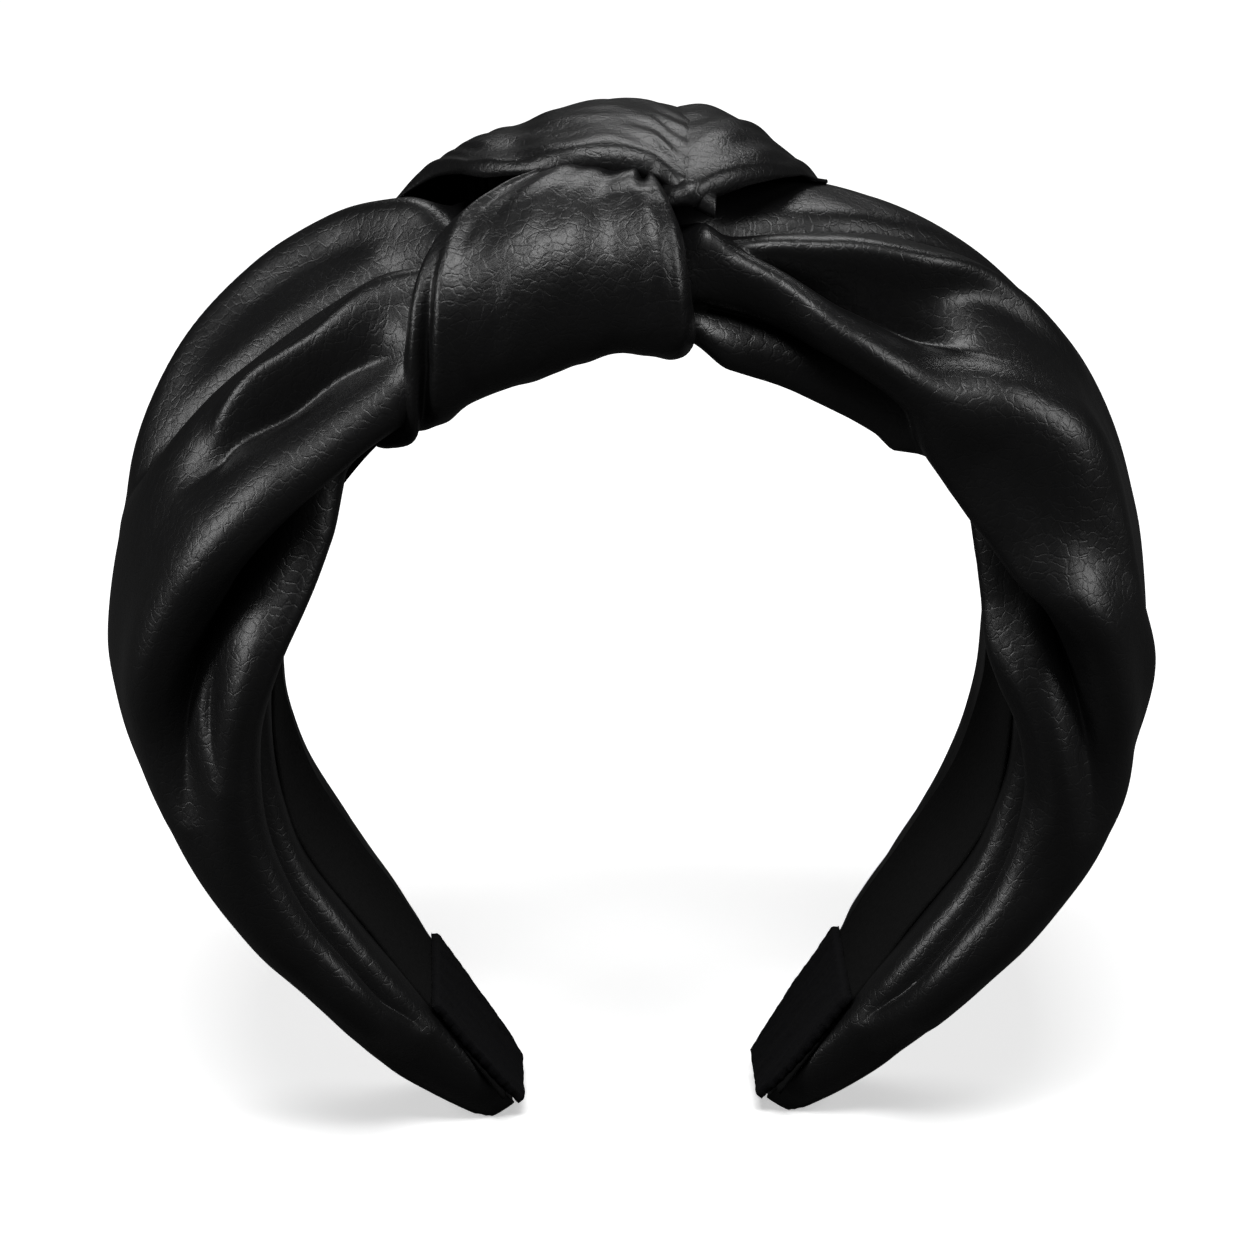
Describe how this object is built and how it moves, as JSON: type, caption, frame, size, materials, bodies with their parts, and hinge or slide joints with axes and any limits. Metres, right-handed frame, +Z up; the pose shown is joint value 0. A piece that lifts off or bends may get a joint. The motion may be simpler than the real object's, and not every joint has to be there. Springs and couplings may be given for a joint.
{
  "type": "knotted padded headband",
  "caption": "Padded headband with a satin cover tied in a knot at the crown, on a sprung hoop that grips the head between its two tips.",
  "frame": {"origin": "on the floor, below the middle of the whole, with the band standing on its two tips", "axes": "+X towards the right-hand arm as seen from the front, +Y towards the back, +Z up to the knot"},
  "size_m": [0.1782, 0.0612, 0.1765],
  "materials": {
    "satin": "black satin with a soft sheen and fine creases",
    "lining_ribbon": "matte black ribbon",
    "tab_felt": "matte black felt",
    "hoop_plastic": "moulded, covered",
    "foam": "open-cell foam sheet, covered",
    "wadding": "polyester wadding, covered",
    "thread": "polyester sewing thread"
  },
  "bodies": {
    "crown": {"hoop_crown": "hoop_plastic", "lining_crown": "lining_ribbon", "foam_crown": "foam", "knot_wadding": "wadding", "knot_front_loop": "satin", "knot_back_loop": "satin", "knot_stitches": "thread"},
    "left_arm": {"hoop_left": "hoop_plastic", "lining_left": "lining_ribbon", "foam_left": "foam", "wadding_left": "wadding", "sleeve_left": "satin", "tip_wrap_left": "satin", "tip_tab_left": "tab_felt"},
    "right_arm": {"hoop_right": "hoop_plastic", "lining_right": "lining_ribbon", "foam_right": "foam", "wadding_right": "wadding", "sleeve_right": "satin", "tip_wrap_right": "satin", "tip_tab_right": "tab_felt"}
  },
  "joints": [
    {"name": "left_flex", "type": "hinge", "parent": "crown", "child": "left_arm", "pos_m": [-0.03743, 0, 0.13762], "axis": [0, 1, 0], "range_deg": [0, 14], "stiffness_Nm_per_rad": 0.6},
    {"name": "right_flex", "type": "hinge", "parent": "crown", "child": "right_arm", "pos_m": [0.01944, 0, 0.14867], "axis": [0, -1, 0], "range_deg": [0, 14], "stiffness_Nm_per_rad": 0.6}
  ]
}
